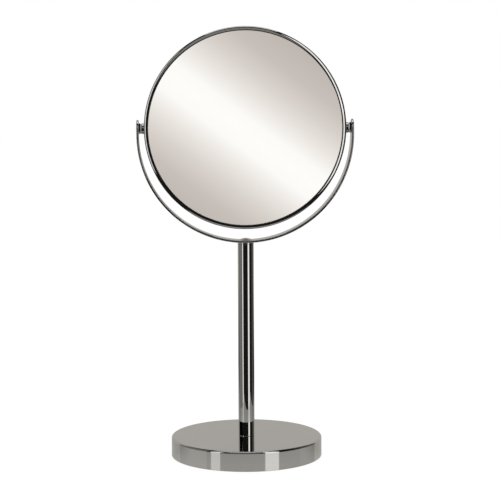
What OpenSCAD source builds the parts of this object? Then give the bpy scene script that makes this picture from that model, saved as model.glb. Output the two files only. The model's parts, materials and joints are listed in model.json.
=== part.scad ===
// Free-standing shaving mirror: a double-sided round mirror on two pivots in a U-shaped band,
// carried by a telescopic column on a weighted round base.
// Millimetres. +Z is up, -Y is the plain mirror's side, and the origin is the centre of the base's underside.

/* [Mirror head] */
// Diameter of both mirror glasses
glass_d = 170; // [150:5:195]
// Thickness of the plain glass
front_glass_t = 2.5; // [2:0.1:2.6]
// Thickness of the magnifying glass
rear_glass_t = 2; // [1.6:0.1:2.2]
// How deep the magnifying glass is dished
dish_depth = 4.8; // [2:0.2:5]
// Depth of the rim from front lip to rear lip
rim_depth = 12; // [12:0.5:16]
// Radial width of the rim as seen from the front
rim_w = 3.8; // [3.4:0.1:5]
// Radius of the rim's rounded shoulders
rim_edge_r = 2; // [1.2:0.1:2]

/* [Yoke] */
// Height of the mirror's tilt axis with the column down
pivot_h = 286.2; // [280:0.1:330]
// Distance from the tilt axis down to the centre of the band's arc
yoke_drop = 5.4; // [4.7:0.1:12]
// Width of the band, front to back
band_w = 15; // [13:0.5:20]
// Thickness of the band
band_t = 2.1; // [1.8:0.1:3]
// Gap between the rim and each arm of the band
side_gap = 4.3; // [4.2:0.1:6]

/* [Column] */
// Diameter of the outer tube
tube_d = 14; // [14:0.5:18]
// Wall of the outer tube
tube_wall = 1; // [0.8:0.1:1]
// Diameter of the sliding inner tube
inner_tube_d = 10; // [9.5:0.1:10]
// How far the column extends
travel = 100; // [60:5:100]
// Thickness of the washer between column and band
head_washer_t = 1.3; // [1:0.1:3]

/* [Base] */
// Diameter of the base
base_d = 131.4; // [110:0.2:180]
// Height of the base
base_h = 17.4; // [16:0.1:22]
// Radius of the base's rounded top edge
base_edge_r = 1.8; // [1.2:0.1:4]
// Thickness of the base's cover sheet
cover_t = 0.8; // [0.6:0.1:1]
// Thickness of the non-slip pad
pad_t = 2; // [1.5:0.1:2.5]

/* [Fits] */
// Radial clearance where a piece slides or turns on another
running_gap = 0.05; // [0.03:0.01:0.1]
// Clearance round pieces that never touch
free_gap = 0.3; // [0.3:0.05:0.4]

/* [Hidden] */
$fn = 128;
overcut = 1;
long_cut = 60;

// Mirror head, measured from the tilt axis
glass_r = glass_d / 2;
glass_edge_gap = 1.2;
rim_t = 0.8;
rim_bore_r = glass_r + glass_edge_gap;
rim_r = rim_bore_r + rim_t;
lip_r = rim_r - rim_w;
lip_y = rim_depth / 2 - rim_t;
front_back_y = front_glass_t - lip_y;
dish_r = (glass_r * glass_r + dish_depth * dish_depth) / (2 * dish_depth);
dish_centre_y = lip_y - dish_depth + dish_r;
dish_fn = 2000;
spacer_w = 9;
spacer_in_r = glass_r - spacer_w;
spacer_out_r = glass_r + glass_edge_gap / 2;
spacer_rise = dish_depth * (1 - pow(spacer_in_r / glass_r, 2));
spacer_back_y = lip_y - rear_glass_t - spacer_rise - running_gap;
notch_wall = 4;
notch_in_r = spacer_in_r + notch_wall;
notch_w = 6;
backing_t = 0.8;
backing_edge_gap = 1;
backing_r = spacer_in_r - backing_edge_gap;

// Yoke, measured from the tilt axis and from the arc's centre
arm_in = rim_r + side_gap;
arm_out = arm_in + band_t;
arc_z = pivot_h - yoke_drop;
band_bottom_z = arc_z - arm_out;
band_top_z = band_bottom_z + band_t;

// Pivots: an M5 screw with a turned-down tip runs in a bush on the rim
pivot_thread_r = 2.5;
pivot_tip_r = 1.5;
pivot_head_r = 4;
pivot_head_h = 1.5;
pivot_crown_h = 0.3;
pivot_hex_af = 3;
pivot_hex_h = 1.6;
pivot_nut_af = 8;
pivot_nut_h = 1.6;
pivot_washer_r = 4;
pivot_washer_bore_r = 1.7;
pivot_washer_h = 0.4;
nut_in = arm_in - pivot_nut_h;
washer_in = nut_in - pivot_washer_h;
bush_out = washer_in - running_gap;
bush_in = notch_in_r + free_gap;
bush_flange_r = 4.5;
bush_shank_r = 2.2;
bush_flare_r = 2.5;
bush_flare_h = 0.6;
pivot_tip_in = bush_in + free_gap;

// Column
tube_r = tube_d / 2;
tube_bore_r = tube_r - tube_wall;
tube_top_z = band_bottom_z - head_washer_t;
inner_r = inner_tube_d / 2;
inner_wall = 0.8;
inner_bore_r = inner_r - inner_wall;
guide_h = 18;
stop_h = 2;
end_play = 0.1;
stop_top_z = tube_top_z - guide_h - travel - end_play;
stop_z = stop_top_z - stop_h;
sleeve_h = 14;
sleeve_slit_w = 1.5;
sleeve_top_z = stop_z - end_play;
sleeve_z = sleeve_top_z - sleeve_h;
inner_tube_z = sleeve_z - end_play;
tail_flange_h = 1.5;
tail_plug_h = 10;
inner_collar_r = tube_bore_r - free_gap;
head_plug_h = 20;
foot_plug_h = 18;

// Column screw, from below
column_screw_r = 3;
column_head_r = 5.5;
column_head_h = 3.5;
column_hex_af = 4;
column_hex_h = 2.2;
column_screw_grip = 15;
column_washer_r = 9;
column_washer_h = 1.6;
lock_washer_r = 5.3;
lock_washer_h = 1.5;
lock_slit_w = 1.2;
screw_hole_r = 3.3;
screw_well_r = 20;
column_head_z = pad_t + free_gap;
lock_washer_z = column_head_z + column_head_h;
column_washer_z = lock_washer_z + lock_washer_h;
screw_well_top_z = column_washer_z + column_washer_h;

// Yoke screw, from above
yoke_screw_r = 2.5;
yoke_screw_l = 16;
yoke_head_r = 6;
yoke_head_h = 1.8;
yoke_hex_af = 3;
yoke_hex_h = 1.2;
yoke_hole_r = 2.7;
yoke_seat_gap = 0.1;
yoke_seat_r = yoke_head_r + yoke_seat_gap;

// Base
base_r = base_d / 2;
skirt_z = 0.3;
ballast_r = base_r - cover_t - free_gap;
ballast_top_z = base_h - cover_t;
pad_inset = 1.2;
pad_r = ballast_r - pad_inset;

// Radius of the corners of a hexagon with the given width across flats
function hex_r(across_flats) = across_flats / 2 / cos(30);

// Radius of the ball whose cap has the given radius and height
function cap_ball_r(cap_r, cap_h) = (cap_r * cap_r + cap_h * cap_h) / (2 * cap_h);

// A plain cylinder from one height to another
module rod(r, z0, z1) {
    translate([0, 0, z0]) cylinder(r = r, h = z1 - z0);
}

// A hollow cylinder from one height to another
module pipe(r_out, r_in, z0, z1) {
    difference() {
        rod(r_out, z0, z1);
        rod(r_in, z0 - overcut, z1 + overcut);
    }
}

// A shallow domed cap standing on the given height
module domed_cap(r, h, z0) {
    intersection() {
        translate([0, 0, z0 + h - cap_ball_r(r, h)]) sphere(r = cap_ball_r(r, h));
        rod(r + overcut, z0, z0 + h + overcut);
    }
}

// A hexagonal recess from one height to another
module hex_socket(across_flats, z0, z1) {
    translate([0, 0, z0]) cylinder(r = hex_r(across_flats), h = z1 - z0, $fn = 6);
}

// Half section of a disc whose top edge is rounded
module rounded_disc_section(r, z0, z1, edge_r) {
    translate([0, z0]) square([r - edge_r, z1 - z0]);
    translate([0, z0]) square([r, z1 - z0 - edge_r]);
    translate([r - edge_r, z1 - edge_r]) circle(r = edge_r);
}

// Half section of a hoop whose two outer edges are rounded
module rounded_hoop_section(r_in, r_out, half_depth, edge_r) {
    translate([r_in, -half_depth]) square([r_out - edge_r - r_in, 2 * half_depth]);
    translate([r_in, edge_r - half_depth]) square([r_out - r_in, 2 * (half_depth - edge_r)]);
    for (side = [-1, 1])
        translate([r_out - edge_r, side * (half_depth - edge_r)]) circle(r = edge_r);
}

// Draws with local +Z pointing to the back of the mirror, from the middle of the head
module about_head() {
    translate([0, 0, pivot_h]) rotate([-90, 0, 0]) children();
}

// Draws with local +Z pointing outwards along the tilt axis, to the right (1) or the left (-1)
module about_pivot(side) {
    translate([0, 0, pivot_h]) rotate([0, side * 90, 0]) children();
}

// The cylinder of the rim's outside or inside, as the pivot pieces see it
module rim_drum(r) {
    rotate([-90, 0, 0]) cylinder(r = r, h = long_cut, center = true);
}

// ---- base ----

module base_cover() {
    color("silver") difference() {
        rotate_extrude() difference() {
            rounded_disc_section(base_r, skirt_z, base_h, base_edge_r);
            rounded_disc_section(base_r - cover_t, skirt_z - overcut, ballast_top_z, base_edge_r - cover_t);
        }
        rod(screw_hole_r, 0, base_h + overcut);
    }
}

module ballast_disc() {
    color("dimgray") difference() {
        rotate_extrude() rounded_disc_section(ballast_r, pad_t, ballast_top_z, base_edge_r - cover_t);
        rod(screw_hole_r, 0, base_h);
        rod(screw_well_r, 0, screw_well_top_z);
    }
}

module foot_pad() {
    color("black") rod(pad_r, 0, pad_t);
}

module column_screw() {
    color("darkgray") difference() {
        union() {
            rod(column_head_r, column_head_z, lock_washer_z);
            rod(column_screw_r, lock_washer_z, base_h + column_screw_grip);
        }
        hex_socket(column_hex_af, column_head_z - overcut, column_head_z + column_hex_h);
    }
}

module column_washer() {
    color("darkgray") pipe(column_washer_r, screw_hole_r, column_washer_z, screw_well_top_z);
}

module column_lock_washer() {
    color("darkgray") difference() {
        pipe(lock_washer_r, screw_hole_r, lock_washer_z, column_washer_z);
        translate([0, -lock_slit_w / 2, lock_washer_z - overcut])
            cube([lock_washer_r + overcut, lock_slit_w, lock_washer_h + 2 * overcut]);
    }
}

// ---- column ----

module outer_tube() {
    color("silver") pipe(tube_r, tube_bore_r, base_h, tube_top_z);
}

module tube_foot_plug() {
    color("darkgray") pipe(tube_bore_r, column_screw_r, base_h, base_h + foot_plug_h);
}

module guide_bush() {
    color("whitesmoke") pipe(tube_bore_r, inner_r + running_gap, tube_top_z - guide_h, tube_top_z);
}

module friction_sleeve() {
    color("whitesmoke") difference() {
        pipe(tube_bore_r - running_gap, inner_r + running_gap, sleeve_z, sleeve_top_z);
        translate([0, -sleeve_slit_w / 2, sleeve_z - overcut])
            cube([tube_r, sleeve_slit_w, sleeve_h + 2 * overcut]);
    }
}

module inner_tube() {
    color("silver") pipe(inner_r, inner_bore_r, inner_tube_z, tube_top_z);
}

module inner_tube_plug() {
    color("darkgray") {
        rod(inner_collar_r, inner_tube_z - tail_flange_h, inner_tube_z);
        rod(inner_bore_r, inner_tube_z - tail_flange_h, inner_tube_z + tail_plug_h);
    }
}

module stop_ring() {
    color("darkgray") pipe(inner_collar_r, inner_r, stop_z, stop_top_z);
}

module column_head_plug() {
    color("darkgray") pipe(inner_bore_r, yoke_screw_r, tube_top_z - head_plug_h, tube_top_z);
}

module head_washer() {
    color("silver") difference() {
        pipe(tube_r, yoke_hole_r, tube_top_z, band_bottom_z + head_washer_t);
        translate([0, 0, arc_z]) rotate([90, 0, 0])
            cylinder(r = arm_out, h = long_cut, center = true, $fn = 720);
    }
}

// ---- yoke ----

module yoke_arc() {
    translate([0, 0, arc_z]) rotate([90, 180, 0]) rotate_extrude(angle = 180, $fn = 720)
        translate([arm_in, -band_w / 2]) square([band_t, band_w]);
}

module yoke_arm(side) {
    about_pivot(side) {
        rod(band_w / 2, arm_in, arm_out);
        translate([0, -band_w / 2, arm_in]) cube([yoke_drop, band_w, band_t]);
    }
}

module yoke_band() {
    color("silver") difference() {
        union() {
            yoke_arc();
            for (side = [-1, 1]) yoke_arm(side);
        }
        for (side = [-1, 1]) about_pivot(side) {
            countersunk_shank();
            rod(pivot_head_r, arm_out, arm_out + overcut);
        }
        rod(yoke_hole_r, band_bottom_z - overcut, band_top_z + overcut);
        rod(yoke_seat_r, band_top_z, band_top_z + overcut);
    }
}

module yoke_screw() {
    color("silver") difference() {
        union() {
            domed_cap(yoke_head_r, yoke_head_h, band_top_z);
            rod(yoke_screw_r, band_top_z - yoke_screw_l, band_top_z + overcut);
        }
        hex_socket(yoke_hex_af, band_top_z + yoke_head_h - yoke_hex_h, band_top_z + yoke_head_h + overcut);
    }
}

// ---- pivots ----

// Thread and countersunk cone of a pivot screw
module countersunk_shank() {
    rod(pivot_thread_r, nut_in, arm_out);
    translate([0, 0, arm_out - pivot_head_h])
        cylinder(r1 = pivot_thread_r, r2 = pivot_head_r, h = pivot_head_h);
}

module pivot_screw(side) {
    color("silver") about_pivot(side) difference() {
        union() {
            countersunk_shank();
            rod(pivot_tip_r, pivot_tip_in, nut_in + overcut);
            domed_cap(pivot_head_r, pivot_crown_h, arm_out);
        }
        hex_socket(pivot_hex_af, arm_out + pivot_crown_h - pivot_hex_h, arm_out + pivot_crown_h + overcut);
    }
}

module pivot_nut(side) {
    color("silver") about_pivot(side) difference() {
        translate([0, 0, nut_in]) cylinder(r = hex_r(pivot_nut_af), h = pivot_nut_h, $fn = 6);
        rod(pivot_thread_r, nut_in - overcut, arm_in + overcut);
    }
}

module pivot_washer(side) {
    color("whitesmoke") about_pivot(side) pipe(pivot_washer_r, pivot_washer_bore_r, washer_in, nut_in);
}

module pivot_bush(side) {
    color("darkgray") about_pivot(side) difference() {
        union() {
            difference() {
                rod(bush_flange_r, rim_bore_r, bush_out);
                rim_drum(rim_r);
            }
            rod(bush_shank_r, bush_in, bush_out);
            intersection() {
                rod(bush_flare_r, rim_bore_r - bush_flare_h, rim_r);
                rim_drum(rim_bore_r);
            }
        }
        rod(pivot_tip_r + running_gap, bush_in - overcut, bush_out + overcut);
    }
}

// ---- mirror head ----

module mirror_rim() {
    color("silver") difference() {
        about_head() rotate_extrude($fn = 360) difference() {
            rounded_hoop_section(lip_r, rim_r, rim_depth / 2, rim_edge_r);
            rounded_hoop_section(lip_r - overcut, rim_bore_r, lip_y, rim_edge_r - rim_t);
        }
        for (side = [-1, 1]) about_pivot(side) rod(bush_shank_r, lip_r, rim_r + overcut);
    }
}

module front_mirror() {
    color("gainsboro") about_head() translate([0, 0, -lip_y])
        cylinder(r = glass_r, h = front_glass_t, $fn = 360);
}

module rear_mirror() {
    color("gainsboro") about_head() rotate_extrude($fn = 360) intersection() {
        translate([0, front_back_y]) square([glass_r, rim_depth]);
        translate([0, dish_centre_y]) difference() {
            circle(r = dish_r + rear_glass_t, $fn = dish_fn);
            circle(r = dish_r, $fn = dish_fn);
        }
    }
}

module glass_spacer() {
    color("dimgray") about_head() difference() {
        pipe(spacer_out_r, spacer_in_r, front_back_y, spacer_back_y);
        for (side = [-1, 1])
            translate([side * (notch_in_r + notch_w) - notch_w, -notch_w / 2, -rim_depth])
                cube([2 * notch_w, notch_w, 2 * rim_depth]);
    }
}

module backing_disc() {
    color("dimgray") about_head() rod(backing_r, front_back_y, front_back_y + backing_t);
}

base_cover();
ballast_disc();
foot_pad();
outer_tube();
tube_foot_plug();
column_screw();
column_washer();
column_lock_washer();
guide_bush();
friction_sleeve();
inner_tube();
inner_tube_plug();
stop_ring();
column_head_plug();
head_washer();
yoke_band();
yoke_screw();
pivot_screw(-1);  // pivot_screw_left
pivot_screw(1);  // pivot_screw_right
pivot_nut(-1);  // pivot_nut_left
pivot_nut(1);  // pivot_nut_right
pivot_washer(-1);  // pivot_washer_left
pivot_washer(1);  // pivot_washer_right
mirror_rim();
front_mirror();
rear_mirror();
glass_spacer();
backing_disc();
pivot_bush(-1);  // pivot_bush_left
pivot_bush(1);  // pivot_bush_right
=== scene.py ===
"""Looks of a free-standing, extendable shaving mirror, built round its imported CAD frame.

Metres, +Z up, -Y towards the viewer. Every visible piece takes its place and size from the frame.
"""

import json
import math

import bmesh
import bpy
from mathutils import Matrix, Vector

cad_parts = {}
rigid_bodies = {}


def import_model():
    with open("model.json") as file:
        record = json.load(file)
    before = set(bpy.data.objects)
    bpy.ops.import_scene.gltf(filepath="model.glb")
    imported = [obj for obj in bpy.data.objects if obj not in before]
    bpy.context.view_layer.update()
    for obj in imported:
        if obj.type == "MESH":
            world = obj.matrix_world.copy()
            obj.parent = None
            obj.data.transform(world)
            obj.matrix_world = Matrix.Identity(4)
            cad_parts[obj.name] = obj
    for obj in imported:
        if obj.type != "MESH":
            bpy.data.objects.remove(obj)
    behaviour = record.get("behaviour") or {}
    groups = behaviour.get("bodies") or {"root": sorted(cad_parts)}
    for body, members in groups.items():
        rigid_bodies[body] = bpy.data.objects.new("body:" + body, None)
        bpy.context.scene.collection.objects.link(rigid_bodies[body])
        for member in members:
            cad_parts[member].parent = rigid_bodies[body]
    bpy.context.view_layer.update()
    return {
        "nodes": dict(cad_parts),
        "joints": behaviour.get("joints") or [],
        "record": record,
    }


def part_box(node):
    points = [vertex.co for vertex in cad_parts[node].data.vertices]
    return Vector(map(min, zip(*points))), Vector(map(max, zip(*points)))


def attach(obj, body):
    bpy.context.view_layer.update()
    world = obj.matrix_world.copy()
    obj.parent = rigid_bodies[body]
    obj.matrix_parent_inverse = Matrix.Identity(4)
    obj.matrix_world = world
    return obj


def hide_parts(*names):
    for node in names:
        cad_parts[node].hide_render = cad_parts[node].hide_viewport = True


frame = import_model()

MM = 0.001
NODES = frame["nodes"]
PIVOT_Z = next(j["pos_m"][2] for j in frame["joints"] if j["name"] == "head_tilt")

# ---------------------------------------------------------------- camera

CAMERA_DISTANCE = 1441 * MM
CAMERA_HEIGHT = 343.5 * MM
CAMERA_AZIMUTH = -2.5  # degrees; a negative azimuth is to the left of the mirror's face
CAMERA_ROLL = -0.25
CAMERA_AIM = Vector((3.7 * MM, 0, 180.6 * MM))
CAMERA_LENS = 120.4
SENSOR = 36


# ---------------------------------------------------------------- mesh tools


SHARP = math.radians(35)


def add_mesh(name, verts, faces, place=Matrix.Identity(4)):
    """A smooth-shaded mesh object, with its vertices moved by place and its sharp edges kept crisp."""
    mesh = bpy.data.meshes.new(name)
    mesh.from_pydata([place @ Vector(v) for v in verts], [], faces)
    mesh.validate()
    mesh.shade_smooth()
    mesh.set_sharp_from_angle(angle=SHARP)
    obj = bpy.data.objects.new(name, mesh)
    bpy.context.scene.collection.objects.link(obj)
    return obj


def weld(obj, distance=0.002 * MM):
    """Joins vertices that lie in one place, and drops the faces that this flattens."""
    bm = bmesh.new()
    bm.from_mesh(obj.data)
    bmesh.ops.remove_doubles(bm, verts=bm.verts, dist=distance)
    bmesh.ops.recalc_face_normals(bm, faces=bm.faces)
    bm.to_mesh(obj.data)
    bm.free()
    obj.data.shade_smooth()
    obj.data.set_sharp_from_angle(angle=SHARP)


def rounded(corners, steps=6, support=0.25 * MM):
    """Points of a closed outline with rounded corners.

    Each corner is (r, h, radius). An arc gets a supporting point on each side.
    """
    points = []
    for i, (r, h, radius) in enumerate(corners):
        here = Vector((r, h))
        if radius <= 0:
            points.append(here)
            continue
        before = Vector(corners[i - 1][:2]) - here
        after = Vector(corners[(i + 1) % len(corners)][:2]) - here
        into, out = before.normalized(), after.normalized()
        half = into.angle(out) / 2
        back = radius / math.tan(half)
        centre = here + (into + out).normalized() * (radius / math.sin(half))
        start, end = here + into * back - centre, here + out * back - centre
        if before.length > back + 3 * support:
            points.append(centre + start + into * support)
        first = math.atan2(start.y, start.x)
        turn = (math.atan2(end.y, end.x) - first + math.pi) % (2 * math.pi) - math.pi
        for k in range(steps + 1):
            a = first + turn * k / steps
            points.append(centre + radius * Vector((math.cos(a), math.sin(a))))
        if after.length > back + 3 * support:
            points.append(centre + end + out * support)
    return points


def lathe(name, outline, place=Matrix.Identity(4), steps=192):
    """Turns a closed outline round local Z, outside wall upwards.

    A row is (radius, height), or a function that gives them for an angle.
    """
    verts, rings = [], []
    for row in outline:
        at = row if callable(row) else lambda a, row=row: row
        on_axis = at(0)[0] < 1e-9
        ring = []
        for k in range(1 if on_axis else steps):
            a = 2 * math.pi * k / steps
            r, h = at(a)
            ring.append(len(verts))
            verts.append((r * math.cos(a), r * math.sin(a), h))
        rings.append(ring)
    faces = []
    for ring, nxt in zip(rings, rings[1:] + rings[:1]):
        if len(ring) == 1 and len(nxt) == 1:
            continue
        for k in range(steps):
            m = (k + 1) % steps
            corners = [ring[k % len(ring)], ring[m % len(ring)], nxt[m % len(nxt)], nxt[k % len(nxt)]]
            faces.append(list(dict.fromkeys(corners)))
    return add_mesh(name, verts, faces, place)


def hexagon(flat, height, bevel_from=None, bevel_way=0):
    """A lathe row that is a hexagon of half-width flat.

    A nut's bevel moves its corners along bevel_way, from the radius bevel_from outwards.
    """

    def row(a):
        r = flat / math.cos(a % (math.pi / 3) - math.pi / 6)
        past = 0 if bevel_from is None else max(0, r - bevel_from)
        return r, height + bevel_way * past * math.tan(math.pi / 6)

    return row


# ---------------------------------------------------------------- material tools


class Nodes:
    """A material's node tree, with short calls for the nodes used here."""

    def __init__(self, name):
        self.material = bpy.data.materials.new(name)
        self.material.use_nodes = True
        self.tree = self.material.node_tree
        self.shader = self.tree.nodes["Principled BSDF"]
        self.coords = self.add("ShaderNodeTexCoord").outputs["Object"]
        self.world = self.add("ShaderNodeNewGeometry").outputs["Position"]

    @classmethod
    def of_tree(cls, tree):
        """The same short calls for a lamp's tree."""
        n = cls.__new__(cls)
        n.tree = tree
        n.world = n.add("ShaderNodeNewGeometry").outputs["Position"]
        return n

    def add(self, kind, inputs=None, **values):
        node = self.tree.nodes.new(kind)
        for key, value in values.items():
            setattr(node, key, value)
        for key, value in (inputs or {}).items():
            self.put(node.inputs[key], value)
        return node

    def put(self, socket, value):
        if isinstance(value, bpy.types.NodeSocket):
            self.tree.links.new(value, socket)
        else:
            socket.default_value = value

    def set(self, **values):
        """Sets the shader's sockets: base_color=..., roughness=... and so on."""
        for key, value in values.items():
            self.put(self.shader.inputs[key.replace("_", " ").title().replace("Ior", "IOR")], value)

    def stretched(self, scale, turn=(0, 0, 0)):
        """Object coordinates scaled by three numbers, after a turn in degrees."""
        turn = [math.radians(a) for a in turn]
        inputs = {"Vector": self.coords, "Scale": scale, "Rotation": turn}
        return self.add("ShaderNodeMapping", inputs).outputs[0]

    def noise(self, scale, detail=3, vector=None, rough=0.5):
        inputs = {"Vector": vector or self.coords, "Scale": scale, "Detail": detail, "Roughness": rough}
        return self.add("ShaderNodeTexNoise", inputs).outputs["Fac"]

    def remap(self, value, low, high, to_low, to_high):
        inputs = {"Value": value, "From Min": low, "From Max": high, "To Min": to_low, "To Max": to_high}
        return self.add("ShaderNodeMapRange", inputs).outputs["Result"]

    def math(self, operation, a, b):
        return self.add("ShaderNodeMath", {0: a, 1: b}, operation=operation).outputs[0]

    def ramp(self, value, stops):
        """A colour ramp from (position, colour) stops."""
        node = self.add("ShaderNodeValToRGB", {"Fac": value})
        while len(node.color_ramp.elements) < len(stops):
            node.color_ramp.elements.new(0.5)
        for element, (position, colour) in zip(node.color_ramp.elements, stops):
            element.position = position
            element.color = (*colour, 1)
        return node.outputs["Color"]

    def bump(self, height, strength, distance, under=None):
        inputs = {"Height": height, "Strength": strength, "Distance": distance}
        if under is not None:
            inputs["Normal"] = under
        return self.add("ShaderNodeBump", inputs).outputs["Normal"]


def hairlines(n, turns, density, length):
    """Fine polishing scratches: narrow bright lines along a few directions, 0 to 1."""
    lines = None
    for turn in turns:
        across = n.stretched((density, density, density / length), turn)
        one = n.remap(n.noise(1, 2, across), 0.66, 0.72, 0, 1)
        lines = one if lines is None else n.math("MAXIMUM", lines, one)
    return lines


def chrome(name, tint, turns, waviness=0.2):
    """Polished nickel-chrome plate: a faint tint, hairline scratches, dull touch marks and soft waviness."""
    n = Nodes(name)
    marks = n.noise(38, 4)
    low = tuple(c * 0.965 for c in tint)
    scratches = hairlines(n, turns, 2600, 26)
    touched = n.remap(marks, 0.35, 0.75, 0.015, 0.045)
    n.set(
        metallic=1.0,
        base_color=n.ramp(marks, [(0.3, low), (0.7, tint)]),
        roughness=n.math("ADD", touched, n.math("MULTIPLY", scratches, 0.03)),
    )
    waves = n.bump(n.noise(16, 1), waviness, 0.02 * MM)
    n.set(normal=n.bump(scratches, 0.03, 0.001 * MM, waves))
    return n.material


def silvered_glass(name):
    """Mirror glass: a clear polished coat over silver, with faint dust in the roughness."""
    n = Nodes(name)
    dust = n.remap(n.noise(900, 2), 0.7, 0.8, 0, 1)
    wiped = n.remap(n.noise(22, 3, n.stretched((1, 1, 0.35), (0, 24, 0))), 0.45, 0.8, 0, 0.012)
    n.set(
        metallic=1.0,
        base_color=n.ramp(wiped, [(0.0, (0.94, 0.935, 0.93)), (1.0, (0.925, 0.925, 0.92))]),
        roughness=n.math("ADD", wiped, n.math("MULTIPLY", dust, 0.02)),
        coat_weight=1.0,
        coat_roughness=0.0,
        coat_ior=1.52,
    )
    return n.material


def zinc_steel(name):
    """Bright zinc-plated steel with turning marks round the column's axis."""
    n = Nodes(name)
    rings = n.noise(1, 2, n.stretched((160, 160, 5200)))
    grain = n.noise(420, 3)
    n.set(
        metallic=1.0,
        base_color=n.ramp(grain, [(0.25, (0.5, 0.5, 0.49)), (0.75, (0.64, 0.645, 0.65))]),
        roughness=n.remap(grain, 0.2, 0.8, 0.24, 0.42),
        normal=n.bump(rings, 0.35, 0.01 * MM),
    )
    return n.material


def cast_iron(name):
    """Sand-cast iron: dark, pitted and dull, with rust in the deeper grains."""
    n = Nodes(name)
    sand = n.noise(900, 5, rough=0.65)
    patches = n.noise(45, 3)
    black, grey, rust = (0.09, 0.088, 0.086), (0.15, 0.145, 0.14), (0.2, 0.12, 0.07)
    n.set(
        metallic=0.6,
        base_color=n.ramp(patches, [(0.35, black), (0.62, grey), (0.8, rust)]),
        roughness=n.remap(sand, 0.2, 0.8, 0.62, 0.9),
        normal=n.bump(sand, 0.8, 0.18 * MM),
    )
    return n.material


def moulded(name, dark, light, grain_scale=1600, roughness=(0.35, 0.55), subsurface=0.0):
    """Moulded plastic with a fine eroded grain."""
    n = Nodes(name)
    grain = n.noise(grain_scale, 3)
    tone = n.noise(60, 2)
    n.set(
        base_color=n.ramp(tone, [(0.3, dark), (0.7, light)]),
        roughness=n.remap(grain, 0.25, 0.75, *roughness),
        subsurface_weight=subsurface,
        normal=n.bump(grain, 0.4, 0.012 * MM),
    )
    return n.material


def foam_rubber(name, dark, light, cell):
    """Closed-cell foam: small round cells under a matt skin, with lighter scuffs."""
    n = Nodes(name)
    voronoi = n.add("ShaderNodeTexVoronoi", {"Vector": n.coords, "Scale": 1 / cell}, feature="SMOOTH_F1")
    cells = voronoi.outputs["Distance"]
    scuffs = n.remap(n.noise(120, 5, rough=0.7), 0.52, 0.75, 0, 1)
    n.set(
        base_color=n.ramp(scuffs, [(0.0, dark), (1.0, light)]),
        roughness=n.remap(cells, 0, 1, 0.78, 0.95),
        normal=n.bump(cells, 0.5, cell * 0.25),
    )
    return n.material


WARM = (0.60, 0.588, 0.570)
NYLON_TONES = ((0.66, 0.655, 0.62), (0.74, 0.735, 0.71))
FLAT_TURNS = ((0, 0, 20), (0, 0, 75), (0, 0, 140))
UPRIGHT_TURNS = ((90, 0, 15), (90, 0, 80), (0, 90, 40))
MATERIALS = {
    "chrome_base": chrome("chrome_base", WARM, FLAT_TURNS, 0.12),
    "chrome_tube": chrome("chrome_tube", WARM, ((0, 0, 0), (8, 0, 0)), 0.05),
    "chrome_band": chrome("chrome_band", WARM, UPRIGHT_TURNS, 0.15),
    "chrome_rim": chrome("chrome_rim", WARM, UPRIGHT_TURNS, 0.15),
    "chrome_fixings": chrome("chrome_fixings", (0.58, 0.57, 0.555), UPRIGHT_TURNS, 0.1),
    "mirror_glass": silvered_glass("mirror_glass"),
    "cast_iron": cast_iron("cast_iron"),
    "steel": zinc_steel("steel"),
    "nylon": moulded("nylon", *NYLON_TONES, roughness=(0.38, 0.52), subsurface=0.15),
    "spacer_plastic": moulded("spacer_plastic", (0.012, 0.012, 0.013), (0.022, 0.022, 0.023)),
    "backing_foam": foam_rubber("backing_foam", (0.07, 0.07, 0.075), (0.14, 0.14, 0.145), 0.5 * MM),
    "pad": foam_rubber("pad", (0.010, 0.010, 0.011), (0.035, 0.035, 0.037), 0.7 * MM),
}


def dress(obj, slot):
    """Gives an object the material of a slot of the record."""
    obj.data.materials.clear()
    obj.data.materials.append(MATERIALS[slot])


def fit_piece(obj, body, slot, *nodes):
    """Makes a new piece ride on a body in place of the CAD nodes that it stands for."""
    dress(obj, slot)
    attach(obj, body)
    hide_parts(*nodes)


# ---------------------------------------------------------------- sizes from the frame


def span(node, axis):
    """Lowest and highest coordinate of a CAD node along one axis."""
    low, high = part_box(node)
    return low[axis], high[axis]


X, Y, Z = 0, 1, 2
ABOUT_HEAD = Matrix.Translation((0, 0, PIVOT_Z)) @ Matrix.Rotation(math.radians(-90), 4, "X")


def about_pivot(side):
    """Local +Z points outwards along the tilt axis, to the right (1) or the left (-1)."""
    return Matrix.Translation((0, 0, PIVOT_Z)) @ Matrix.Rotation(math.radians(90 * side), 4, "Y")


def between(low, high, r_in, r_out, *radii):
    """Corners of a hoop's section from low to high: inner low, outer low, outer high, inner high."""
    places = ((r_in, low), (r_out, low), (r_out, high), (r_in, high))
    return [(r, h, radius) for (r, h), radius in zip(places, radii)]


# ---------------------------------------------------------------- base and column


def base_shell():
    """The pressed cover: rounded top edge, sheet thickness, a hole for the screw and a dressed lower edge."""
    r = span("base_cover", X)[1]
    low, top = span("base_cover", Z)
    sheet, edge, hole, dressed = 0.8 * MM, 1.8 * MM, 3.3 * MM, 0.3 * MM
    corners = [
        (hole, top, 0),
        (hole, top - sheet, 0),
        (r - sheet, top - sheet, edge - sheet),
        (r - sheet, low, dressed),
        (r, low, dressed),
        (r, top, edge),
    ]
    shell = lathe("base_shell", rounded(corners, 10), steps=256)
    fit_piece(shell, "stand", "chrome_base", "base_cover")


def base_pad():
    """The non-slip pad, with a soft edge and three shallow ring grooves on its underside."""
    r = span("foot_pad", X)[1]
    low, top = span("foot_pad", Z)
    groove, depth, soft = 1.6 * MM, 0.5 * MM, 0.4 * MM
    corners = [(0, top, 0), (0, low, 0)]
    for share in (0.3, 0.6, 0.9):
        g = r * share
        corners += [
            (g - groove, low, soft / 2),
            (g - groove / 2, low + depth, soft / 2),
            (g + groove / 2, low + depth, soft / 2),
            (g + groove, low, soft / 2),
        ]
    corners += [(r, low, soft), (r, top, soft)]
    pad = lathe("base_pad", rounded(corners, 4, 0.1 * MM), steps=160)
    fit_piece(pad, "stand", "pad", "foot_pad")


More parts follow.
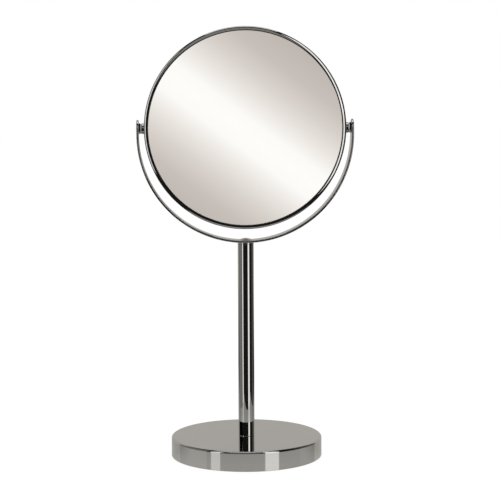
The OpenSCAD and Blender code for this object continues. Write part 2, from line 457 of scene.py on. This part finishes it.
def column_tube(name, node, body, wall, lip):
    """A drawn tube with rounded lips at both ends."""
    r = span(node, X)[1]
    low, top = span(node, Z)
    tube = lathe(name, rounded(between(low, top, r - wall, r, lip / 2, lip, lip, lip / 2), 5), steps=128)
    fit_piece(tube, body, "chrome_tube", node)


def mouth_bush():
    """The nylon guide bush in the outer tube's mouth, with broken edges."""
    wall, edge = 0.95 * MM, 0.2 * MM
    low, top = span("guide_bush", Z)
    r = span("guide_bush", X)[1]
    corners = between(low, top, r - wall, r, edge, edge, edge, edge)
    bush = lathe("mouth_bush", rounded(corners, 3, 0.08 * MM), steps=96)
    fit_piece(bush, "stand", "nylon", "guide_bush")


# ---------------------------------------------------------------- yoke

BAND_LOW, BAND_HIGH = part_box("yoke_band")
ARM_OUT = BAND_HIGH.x
ARM_IN = span("pivot_nut_right", X)[1]
BAND_T = ARM_OUT - ARM_IN
BAND_HALF = BAND_HIGH.y
ARC_Z = BAND_LOW.z + ARM_OUT


def band_point(u, v, w):
    """A point of the bent band.

    u runs along its middle line from the bottom, v front to back, and w outwards from its middle.
    """
    r = ARM_OUT - BAND_T / 2
    quarter = r * math.pi / 2
    side = 1 if u >= 0 else -1
    if abs(u) <= quarter:
        a = u / r
        return ((r + w) * math.sin(a), v, ARC_Z - (r + w) * math.cos(a))
    return (side * (r + w), v, ARC_Z + abs(u) - quarter)


def band_stations(half_length, arc_steps, cap_steps):
    """Places along the band as (u of the straight part, angle into the round end)."""
    straight = [(half_length * (2 * i / arc_steps - 1), 0.0) for i in range(arc_steps + 1)]
    caps = [math.pi / 2 * (k / cap_steps) for k in range(1, cap_steps + 1)]
    return [(-half_length, -a) for a in reversed(caps)] + straight + [(half_length, a) for a in caps]


def yoke_strip():
    """The flat band: a long plate with round ends and eased edges, bent round the head."""
    edge, edge_steps = 0.8 * MM, 8
    half_length = (ARM_OUT - BAND_T / 2) * math.pi / 2 + PIVOT_Z - ARC_Z
    stations = band_stations(half_length, 240, 20)
    levels = []
    for k in range(edge_steps + 1):
        a = math.pi / 2 * k / edge_steps
        levels.append((edge * (1 - math.sin(a)), -(BAND_T / 2 - edge) - edge * math.cos(a)))
    levels += [(inset, -w) for inset, w in reversed(levels)]
    support = 0.3 * MM
    levels = [(levels[0][0] + support, levels[0][1])] + levels + [(levels[-1][0] + support, levels[-1][1])]
    verts, grid = [], []
    for inset, w in levels:
        half = BAND_HALF - inset
        rows = []
        for u, a in stations:
            pair = []
            for front in (-1, 1):
                v = front * half * math.cos(a)
                pair.append(len(verts))
                verts.append(band_point(u + half * math.sin(a), v, w))
            rows.append(pair)
        grid.append(rows)
    faces = []
    last = len(stations) - 1
    for lower, upper in zip(grid, grid[1:]):
        for i in range(last):
            faces.append([lower[i][0], lower[i + 1][0], upper[i + 1][0], upper[i][0]])
            faces.append([lower[i + 1][1], lower[i][1], upper[i][1], upper[i + 1][1]])
    for rows, order in ((grid[0], 1), (grid[-1], -1)):
        for i in range(last):
            faces.append([rows[i][0], rows[i][1], rows[i + 1][1], rows[i + 1][0]][::order])
    strip = add_mesh("yoke_strip", verts, faces)
    weld(strip)
    fit_piece(strip, "yoke", "chrome_band", "yoke_band")


# ---------------------------------------------------------------- screws, nuts and bushes


def cap_rows(r, rise, base, flat, depth, steps=10):
    """Rows of a domed head, from its edge to the floor of its hexagon socket.

    r and rise are the dome's, and base is its foot.
    """
    ball = (r * r + rise * rise) / (2 * rise)
    middle = base + rise - ball
    mouth = flat * 1.22
    rows = []
    for k in range(steps + 1):
        at = r + (mouth - r) * k / steps
        rows.append((at, middle + math.sqrt(ball * ball - at * at)))
    top = middle + math.sqrt(ball * ball - flat * flat)
    floor = base + rise - depth
    lead_in, drill_point = 0.15 * MM, 0.3 * MM
    rows += [hexagon(flat, top), hexagon(flat, top - lead_in)]
    return rows + [hexagon(flat, floor), (0, floor - drill_point)]


def yoke_dome_screw():
    """The dome-headed screw that stands inside the bottom of the band."""
    low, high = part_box("yoke_screw")
    seat = BAND_LOW.z + BAND_T
    shank, tip = 2.5 * MM, 0.4 * MM
    edge = 0.25 * MM
    dome_foot = seat + edge * 0.6
    hex_flat, hex_depth = 1.5 * MM, 1.2 * MM
    rows = [(0, low.z), (shank - tip, low.z), (shank, low.z + tip), (shank, seat - edge)]
    rows += [(high.x - edge, seat), (high.x, dome_foot)]
    rows += cap_rows(high.x, high.z - dome_foot, dome_foot, hex_flat, hex_depth)
    screw = lathe("yoke_dome_screw", rows, steps=96)
    fit_piece(screw, "yoke", "chrome_fixings", "yoke_screw")


def pivot_set(side, word):
    """One pivot: countersunk screw, hexagon nut and nylon washer on the arm, and the bush on the rim."""
    place = about_pivot(side)
    head_top = span("pivot_screw_right", X)[1]
    tip_end = span("pivot_screw_right", X)[0]
    nut_in = span("pivot_nut_right", X)[0]
    crown = head_top - ARM_OUT
    tip, shank, head, cone = 1.5 * MM, 2.5 * MM, 4.0 * MM, 1.5 * MM
    ease = 0.2 * MM
    hex_flat, hex_depth = 1.5 * MM, 1.6 * MM
    rows = [(0, tip_end), (tip - ease, tip_end), (tip, tip_end + ease)]
    rows += [(tip, nut_in - ease), (shank, nut_in + ease), (shank, ARM_OUT - cone), (head, ARM_OUT)]
    rows += cap_rows(head, crown, ARM_OUT, hex_flat, hex_depth)
    screw = lathe("pivot_screw_turned_" + word, rows, place, 72)
    fit_piece(screw, "yoke", "chrome_fixings", "pivot_screw_" + word)

    flat = span("pivot_nut_right", Y)[1]
    bevel = flat * 0.97
    rows = [
        (shank, nut_in),
        (bevel, nut_in),
        hexagon(flat, nut_in, bevel, 1),
        hexagon(flat, ARM_IN, bevel, -1),
        (bevel, ARM_IN),
        (shank, ARM_IN),
    ]
    nut = lathe("pivot_nut_bevelled_" + word, rows, place, 96)
    fit_piece(nut, "yoke", "chrome_fixings", "pivot_nut_" + word)

    low, high = span("pivot_washer_right", X)
    r = span("pivot_washer_right", Y)[1]
    soft = 0.12 * MM
    washer = lathe(
        "pivot_washer_moulded_" + word,
        rounded(between(low, high, 1.7 * MM, r, soft, soft, soft, soft), 3, 0.05 * MM),
        place,
        72,
    )
    fit_piece(washer, "yoke", "nylon", "pivot_washer_" + word)

    low, high = span("pivot_bush_right", X)
    r = span("pivot_bush_right", Y)[1]
    bore, stem = 1.55 * MM, 2.2 * MM
    seat = RIM_R - 0.4 * MM
    corners = [
        (bore, low, 0),
        (stem, low, ease),
        (stem, seat, 0),
        (r, seat, 0),
        (r, high, 0.5 * MM),
        (bore, high, ease),
    ]
    bush = lathe("pivot_bush_turned_" + word, rounded(corners, 5, 0.1 * MM), place, 96)
    fit_piece(bush, "head", "chrome_fixings", "pivot_bush_" + word)


# ---------------------------------------------------------------- mirror head

RIM_R = span("mirror_rim", X)[1]
RIM_HALF = span("mirror_rim", Y)[1]
RIM_SHEET = 0.8 * MM
LIP_R = RIM_R - 3.8 * MM


def arc(centre, radius, start, end, steps):
    """Points of an arc in a section. Angles are degrees turned from the front (0) to the outside (90)."""
    points = []
    for k in range(steps + 1):
        a = math.radians(start + (end - start) * k / steps)
        points.append((centre[0] + radius * math.sin(a), centre[1] - radius * math.cos(a)))
    return points


def rolled_rim():
    """The rolled channel: crowned faces and round shoulders outside, eased lips over both glasses."""
    lip, turn = 0.25 * MM, 26
    face_r, bore, lip_y = 6.0 * MM, RIM_R - RIM_SHEET, RIM_HALF - RIM_SHEET
    crown = LIP_R + lip
    reach, drop = face_r * math.sin(math.radians(turn)), face_r * (1 - math.cos(math.radians(turn)))
    shoulder = (RIM_R - crown - reach) / (1 - math.sin(math.radians(turn)))
    inner = 1.2 * MM
    outside = arc((crown, -RIM_HALF + lip), lip, -90, 0, 4)
    outside += arc((crown, -RIM_HALF + face_r), face_r, 0, turn, 10)[1:]
    shoulder_y = -RIM_HALF + drop + shoulder * math.cos(math.radians(turn))
    outside += arc((RIM_R - shoulder, shoulder_y), shoulder, turn, 90, 14)[1:]
    inside = arc((bore - inner, -lip_y + inner), inner, 90, 0, 6) + arc((crown, -lip_y - lip), -lip, 0, 90, 4)
    rows = outside + [(r, -h) for r, h in reversed(outside)]
    rows += [(r, -h) for r, h in reversed(inside)] + inside
    rim = lathe("rolled_rim", rows, ABOUT_HEAD, 320)
    fit_piece(rim, "head", "chrome_rim", "mirror_rim")


def plain_glass():
    """The plain mirror, a flat disc with ground edges."""
    r = span("front_mirror", X)[1]
    low, high = span("front_mirror", Y)
    arris = 0.3 * MM
    corners = [(0, low, 0), (r, low, arris), (r, high, arris), (0, high, 0)]
    glass = lathe("plain_glass", rounded(corners, 3, 0.4 * MM), ABOUT_HEAD, 320)
    fit_piece(glass, "head", "mirror_glass", "front_mirror")


def dished_glass():
    """The magnifying mirror, one even sheet dished towards its edge."""
    r = span("rear_mirror", X)[1]
    low, high = span("rear_mirror", Y)
    sheet = 2.0 * MM
    depth = high - low - sheet
    curve = (r * r + depth * depth) / (2 * depth)
    middle = low + sheet + curve
    steps = 40
    reach = [r * i / steps for i in range(steps + 1)]
    rows = [(at, middle - math.sqrt((curve + sheet) ** 2 - at * at)) for at in reach]
    rows += [(at, middle - math.sqrt(curve * curve - at * at)) for at in reversed(reach)]
    glass = lathe("dished_glass", rows, ABOUT_HEAD, 320)
    fit_piece(glass, "head", "mirror_glass", "rear_mirror")


# ---------------------------------------------------------------- pieces that keep their CAD shape


def dress_cad_node(node, slot):
    """Gives a CAD node its material and smooth curved faces."""
    obj = NODES[node]
    dress(obj, slot)
    obj.data.shade_smooth()
    obj.data.set_sharp_from_angle(angle=SHARP)


def keep_cad_shapes():
    """The pieces inside the base, the column and the head."""
    for part in frame["record"]["subparts"]:
        if not NODES[part["node"]].hide_render:
            dress_cad_node(part["node"], part["material_slot"])


# ---------------------------------------------------------------- studio


def emitter(name, colour):
    """A material that glows evenly in one colour."""
    n = Nodes(name)
    n.tree.nodes.remove(n.shader)
    glow = n.add("ShaderNodeEmission", {"Color": (*colour, 1), "Strength": 1.0})
    n.tree.links.new(glow.outputs[0], n.tree.nodes["Material Output"].inputs["Surface"])
    return n.material


def flat_sheet(name, width, height):
    """A rectangle in its own XY plane, about its middle."""
    x, y = width / 2, height / 2
    return add_mesh(name, [(-x, -y, 0), (x, -y, 0), (x, y, 0), (-x, y, 0)], [[0, 1, 2, 3]])


def card(name, width, height, centre, facing, material):
    """A flat studio card that only reflections see."""
    obj = flat_sheet(name, width, height)
    obj.data.materials.append(material)
    obj.location = centre
    obj.rotation_mode = "QUATERNION"
    obj.rotation_quaternion = Vector(facing).to_track_quat("Z", "Y")
    obj.visible_camera = False
    obj.visible_diffuse = False
    obj.visible_shadow = False
    return obj


def around(azimuth, distance, height=0.0):
    """A point of the studio. Azimuth 0 is in front of the mirror and 90 to its right."""
    a = math.radians(azimuth)
    return Vector((distance * math.sin(a), -distance * math.cos(a), height))


def aim_lamp(obj, centre, target):
    """Puts a lamp in place, turned towards a point and hidden from the camera."""
    obj.location = centre
    obj.rotation_mode = "QUATERNION"
    obj.rotation_quaternion = (target - centre).to_track_quat("-Z", "Y")
    obj.visible_camera = False


def softbox(name, width, height, centre, target, radiance):
    """A rectangular area light that glows evenly with the given radiance."""
    light = bpy.data.lights.new(name, "AREA")
    light.shape = "RECTANGLE"
    light.size = width
    light.size_y = height
    light.energy = radiance * math.pi * width * height
    obj = bpy.data.objects.new(name, light)
    bpy.context.scene.collection.objects.link(obj)
    aim_lamp(obj, centre, target)
    return obj


def hide_from(obj, pieces):
    """Keeps a lamp or a card out of the light and the reflections of some pieces."""
    group = bpy.data.collections.new(obj.name + "_hidden_from")
    for piece in bpy.data.objects:
        if piece.type == "MESH" and piece not in pieces:
            group.objects.link(piece)
    obj.light_linking.receiver_collection = group


def pale_world():
    """White to the camera, soft light on matt pieces, and a dark room to reflections."""
    world = bpy.data.worlds.new("pale_world")
    bpy.context.scene.world = world
    world.use_nodes = True
    tree = world.node_tree
    background = tree.nodes["Background"]
    path = tree.nodes.new("ShaderNodeLightPath")
    seen = tree.nodes.new("ShaderNodeMix")
    lit = tree.nodes.new("ShaderNodeMix")
    tree.links.new(path.outputs["Is Glossy Ray"], lit.inputs["Factor"])
    lit.inputs["A"].default_value = 0.8
    lit.inputs["B"].default_value = 0.014
    tree.links.new(path.outputs["Is Camera Ray"], seen.inputs["Factor"])
    tree.links.new(lit.outputs["Result"], seen.inputs["A"])
    seen.inputs["B"].default_value = 1.0
    tree.links.new(seen.outputs["Result"], background.inputs["Strength"])
    background.inputs["Color"].default_value = (1, 1, 1, 1)


def stage_floor():
    """The floor that the camera sees. Its glow keeps it level with the backdrop."""
    n = Nodes("pale_floor")
    n.shader.inputs["Specular IOR Level"].default_value = 0.0
    n.set(base_color=(0.14, 0.14, 0.14, 1), roughness=0.9)
    n.set(emission_color=(1, 1, 1, 1), emission_strength=0.9)
    clear = n.add("ShaderNodeBsdfTransparent")
    below = n.add("ShaderNodeNewGeometry").outputs["Backfacing"]
    mix = n.add("ShaderNodeMixShader", {0: below, 1: n.shader.outputs[0], 2: clear.outputs[0]})
    n.tree.links.new(mix.outputs[0], n.tree.nodes["Material Output"].inputs["Surface"])
    width = 12.0
    floor = flat_sheet("floor", width, width)
    floor.data.materials.append(n.material)
    floor.visible_glossy = False


def under_board():
    """A glossy dark board under the object that only the metal's reflections see. Its glow is painted light:
    brightest round the base, fading outwards, and dimmed from just in front of the column backwards.
    """
    width, depth, turn = 0.42, 0.60, math.radians(9)
    front_middle = Vector((0.037, -0.198, 0))
    n = Nodes("under_board")
    # Painted light: a pool of glow, brightest within 8 cm of the column's foot and fading to a dimmer grey by
    # 24 cm.
    away = n.add("ShaderNodeVectorMath", {0: n.world}, operation="LENGTH").outputs["Value"]
    glow = n.ramp(n.remap(away, 0.08, 0.24, 0, 1), [(0.0, (0.44, 0.432, 0.416)), (1.0, (0.27, 0.265, 0.255))])
    painted_dimming_depth = n.add("ShaderNodeSeparateXYZ", {0: n.world}).outputs["Y"]
    n.set(base_color=(0.05, 0.05, 0.05, 1), roughness=0.12, ior=2.0, emission_color=glow)
    # Painted shade: the glow drops to 0.6 of its strength from just in front of the column backwards.
    n.set(emission_strength=n.remap(painted_dimming_depth, -0.04, 0.0, 1.0, 0.6))
    board = card("under_board", width, depth, (0, 0, 0), (0, 0, 1), n.material)
    board.rotation_quaternion = Matrix.Rotation(turn, 3, "Z").to_quaternion()
    back = Vector((-math.sin(turn), math.cos(turn), 0))
    board.location = front_middle + back * depth / 2 + Vector((0, 0, 0.05 * MM))


def streak_light(glasses):
    """The large lamp that both glasses mirror: a soft bright streak that falls from left to right."""
    centre = Vector((0.112, -2.6, 0.171))
    fall = math.radians(37)
    light = bpy.data.lights.new("streak_light", "AREA")
    light.shape = "RECTANGLE"
    light.size, light.size_y = 9.0, 5.0
    light.energy = math.pi * light.size * light.size_y
    light.use_nodes = True
    tree = light.node_tree
    n = Nodes.of_tree(tree)
    glow = tree.nodes["Emission"]
    from_centre = {0: n.world, 1: tuple(centre)}
    offset = n.add("ShaderNodeVectorMath", from_centre, operation="SUBTRACT").outputs["Vector"]
    over_streak = {0: offset, 1: (math.sin(fall), 0, math.cos(fall))}
    along = n.add("ShaderNodeVectorMath", over_streak, operation="DOT_PRODUCT").outputs["Value"]
    reach = 0.24
    away = n.remap(n.math("ABSOLUTE", along, 0), 0, reach, 0, 1)
    stops = [
        (0.00, (1.04, 1.03, 1.01)),
        (0.14, (1.02, 1.01, 0.99)),
        (0.33, (0.86, 0.826, 0.787)),
        (0.53, (0.714, 0.671, 0.629)),
        (0.74, (0.594, 0.548, 0.510)),
        (1.00, (0.535, 0.492, 0.456)),
    ]
    n.put(glow.inputs["Color"], n.ramp(away, stops))
    obj = bpy.data.objects.new("streak_light", light)
    bpy.context.scene.collection.objects.link(obj)
    aim_lamp(obj, centre, centre + Vector((0, 1, 0)))
    group = bpy.data.collections.new("streak_receivers")
    for piece in glasses:
        group.objects.link(piece)
    obj.light_linking.receiver_collection = group


WALL = 1.9  # how far the flags and strips stand from the column


def side_flag(name, azimuth, width, low, high, glow):
    """A grey card that stands at one side of the room."""
    return card(name, width, high - low, around(azimuth, WALL, (low + high) / 2), -around(azimuth, 1), glow)


def tall_strip(name, azimuth, width, low, high, radiance):
    """An upright strip light in front of the object."""
    centre = around(azimuth, WALL, (low + high) / 2)
    return softbox(name, width, high - low, centre, Vector((0, 0, centre.z)), radiance)


def studio(glasses, stand):
    """Dark room in front, two tall strips, a white top, grey sides and a light backdrop behind."""
    grey = emitter("backdrop_glow", (0.525, 0.51, 0.482))
    card("backdrop", 7.0, 3.2, around(180, 2.4, 1.2), -around(180, 1), grey)
    upper = emitter("upper_front_glow", (0.28, 0.275, 0.263))
    card("upper_front", 1.7, 1.5, around(-6, WALL, 1.5), -around(-6, 1), upper)
    right = emitter("right_flag_glow", (0.09, 0.089, 0.086))
    side_flag("right_flag", 104, 1.3, -0.6, 2.4, right)
    left = emitter("left_flag_glow", (0.23, 0.227, 0.215))
    # The column and the base's top mirror each other's view of this height, which is dark on the left.
    low, high = 0.38, 0.52
    side_flag("left_flag_low", -94, 2.1, -0.6, low, left)
    side_flag("left_flag_high", -94, 2.1, high, 2.4, left)
    hide_from(side_flag("left_flag_middle", -94, 2.1, low, high, left), stand)
    for name, azimuth, width, radiance in (("left_strip", -50, 0.50, 1.2), ("right_strip", 36, 0.72, 1.35)):
        tall_strip(name + "_low", azimuth, width, -0.5, low, radiance)
        tall_strip(name + "_high", azimuth, width, high, 2.1, radiance)
    hide_from(tall_strip("left_strip_middle", -50, 0.50, low, high, 1.2), stand)
    tall_strip("right_strip_middle", 36, 0.72, low, high, 1.75)
    softbox("top_box", 1.6, 1.4, Vector((0, 0.2, 2.3)), Vector((0, 0, 0.2)), 1.3)
    streak_light(glasses)


def camera():
    """The photograph's view: slightly from the left and from above the middle of the mirror."""
    data = bpy.data.cameras.new("camera")
    data.lens = CAMERA_LENS
    data.sensor_width = SENSOR
    data.clip_end = 50
    obj = bpy.data.objects.new("camera", data)
    bpy.context.scene.collection.objects.link(obj)
    obj.location = around(CAMERA_AZIMUTH, CAMERA_DISTANCE, CAMERA_HEIGHT)
    look = (CAMERA_AIM - obj.location).to_track_quat("-Z", "Y")
    obj.rotation_mode = "QUATERNION"
    obj.rotation_quaternion = look @ Matrix.Rotation(math.radians(CAMERA_ROLL), 3, "Z").to_quaternion()
    bpy.context.scene.camera = obj


# ---------------------------------------------------------------- build

base_shell()
base_pad()
column_tube("column_outer_tube", "outer_tube", "stand", 1.0 * MM, 0.3 * MM)
column_tube("column_inner_tube", "inner_tube", "yoke", 0.8 * MM, 0.2 * MM)
mouth_bush()
yoke_strip()
yoke_dome_screw()
for pivot_side, pivot_word in ((-1, "left"), (1, "right")):
    pivot_set(pivot_side, pivot_word)
rolled_rim()
plain_glass()
dished_glass()
keep_cad_shapes()

camera()
pale_world()
stage_floor()
under_board()
studio(
    glasses=[bpy.data.objects[name] for name in ("plain_glass", "dished_glass")],
    stand=[bpy.data.objects[name] for name in ("base_shell", "column_outer_tube", "column_inner_tube")],
)
scene = bpy.context.scene
scene.view_settings.view_transform = "Standard"
scene.cycles.use_denoising = True
scene.cycles.sample_clamp_indirect = 10
